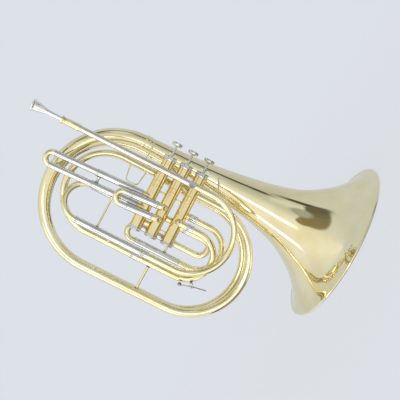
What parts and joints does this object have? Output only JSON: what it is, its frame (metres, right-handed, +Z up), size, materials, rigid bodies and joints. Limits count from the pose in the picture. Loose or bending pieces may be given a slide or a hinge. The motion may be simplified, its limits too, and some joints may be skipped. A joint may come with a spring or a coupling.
{
  "type": "marching french horn",
  "caption": "Bell-front marching horn with piston valves, a wound branch of brass tubing, pull-out tuning slides, a water key and a removable mouthpiece, standing on its bell.",
  "frame": {"origin": "on the surface that the bell's rim stands on, under the middle of the horn's box", "axes": "+Z up along the bell's axis towards the mouthpiece, +X towards the finger buttons, -Y towards the side with the slides"},
  "size_m": [0.4068, 0.3, 0.5881],
  "materials": {
    "lacquered_brass": "polished, clear lacquered",
    "nickel_silver": "polished, a white copper alloy",
    "silver_plate": "polished, silver plated",
    "spring_steel": "drawn wire",
    "cork": "natural cork"
  },
  "bodies": {
    "horn_body": {"bell": "lacquered_brass", "bell_ferrule": "lacquered_brass", "large_front_bow": "lacquered_brass", "large_rear_bow": "lacquered_brass", "inner_loop_bow": "lacquered_brass", "exit_bow": "lacquered_brass", "exit_ferrule": "nickel_silver", "leadpipe": "nickel_silver", "leadpipe_bow": "lacquered_brass", "lead_bow_ferrule": "nickel_silver", "mouthpiece_receiver": "lacquered_brass", "main_slide_lower_sleeve": "nickel_silver", "main_slide_upper_sleeve": "nickel_silver", "valve_casing_1": "lacquered_brass", "valve_casing_2": "lacquered_brass", "valve_casing_3": "lacquered_brass", "crossover_1_2": "lacquered_brass", "crossover_2_3": "lacquered_brass", "valve_top_cap_1": "nickel_silver", "valve_top_cap_2": "nickel_silver", "valve_top_cap_3": "nickel_silver", "valve_bottom_cap_1": "nickel_silver", "valve_bottom_cap_2": "nickel_silver", "valve_bottom_cap_3": "nickel_silver", "valve_spring_1": "spring_steel", "valve_spring_2": "spring_steel", "valve_spring_3": "spring_steel", "first_slide_upper_sleeve": "nickel_silver", "first_slide_lower_sleeve": "nickel_silver", "first_slide_brace": "nickel_silver", "second_slide_upper_sleeve": "nickel_silver", "second_slide_lower_sleeve": "nickel_silver", "third_valve_outer_bow": "lacquered_brass", "third_valve_inner_bow": "lacquered_brass", "third_slide_upper_sleeve": "nickel_silver", "third_slide_lower_sleeve": "nickel_silver", "third_slide_brace": "lacquered_brass", "slide_brace": "lacquered_brass", "slide_loop_brace": "lacquered_brass", "branch_brace": "lacquered_brass", "leadpipe_brace": "lacquered_brass", "bell_wire_brace": "lacquered_brass", "loop_wire_brace": "lacquered_brass", "water_key_saddle": "nickel_silver", "water_key_pin": "spring_steel", "lyre_holder": "nickel_silver"},
    "valve_1": {"piston_1": "nickel_silver", "finger_button_1": "nickel_silver"},
    "valve_2": {"piston_2": "nickel_silver", "finger_button_2": "nickel_silver"},
    "valve_3": {"piston_3": "nickel_silver", "finger_button_3": "nickel_silver"},
    "main_slide": {"main_tuning_slide": "lacquered_brass"},
    "first_valve_slide": {"first_slide": "nickel_silver"},
    "second_valve_slide": {"second_slide": "nickel_silver"},
    "third_valve_slide": {"third_slide": "lacquered_brass"},
    "mouthpiece_body": {"mouthpiece": "silver_plate"},
    "water_key": {"water_key_lever": "nickel_silver", "water_key_cork": "cork"},
    "lyre_screw_body": {"lyre_screw": "nickel_silver"}
  },
  "joints": [
    {"name": "valve_1_press", "type": "slide", "parent": "horn_body", "child": "valve_1", "axis": [-1, 0, 0], "range_m": [0, 0.0165], "stiffness_N_per_m": 120, "springref_m": -0.012, "deforming": ["valve_spring_1"]},
    {"name": "valve_2_press", "type": "slide", "parent": "horn_body", "child": "valve_2", "axis": [-1, 0, 0], "range_m": [0, 0.0165], "stiffness_N_per_m": 120, "springref_m": -0.012, "deforming": ["valve_spring_2"]},
    {"name": "valve_3_press", "type": "slide", "parent": "horn_body", "child": "valve_3", "axis": [-1, 0, 0], "range_m": [0, 0.0165], "stiffness_N_per_m": 120, "springref_m": -0.012, "deforming": ["valve_spring_3"]},
    {"name": "main_tuning_slide_pull", "type": "slide", "parent": "horn_body", "child": "main_slide", "axis": [0, 0, 1], "range_m": [0, 0.055]},
    {"name": "first_slide_pull", "type": "slide", "parent": "horn_body", "child": "first_valve_slide", "axis": [-0.0436, 0, 0.999], "range_m": [0, 0.052]},
    {"name": "second_slide_pull", "type": "slide", "parent": "horn_body", "child": "second_valve_slide", "axis": [-0.0785, 0, 0.9969], "range_m": [0, 0.036]},
    {"name": "third_slide_pull", "type": "slide", "parent": "horn_body", "child": "third_valve_slide", "axis": [0, 0, 1], "range_m": [0, 0.046]},
    {"name": "mouthpiece_pull", "type": "slide", "parent": "horn_body", "child": "mouthpiece_body", "axis": [-0.0143, 0, 0.9999], "range_m": [0, 0.03]},
    {"name": "water_key_press", "type": "hinge", "parent": "horn_body", "child": "water_key", "pos_m": [-0.13625, -0.02661, 0.19993], "axis": [0, -1, 0], "range_deg": [0, 14], "stiffness_Nm_per_rad": 0.03, "springref_deg": -14.32},
    {"name": "lyre_screw_turn", "type": "hinge", "parent": "horn_body", "child": "lyre_screw_body", "pos_m": [0.02484, -0.0782, 0.287], "axis": [0, 1, 0], "continuous": true}
  ]
}
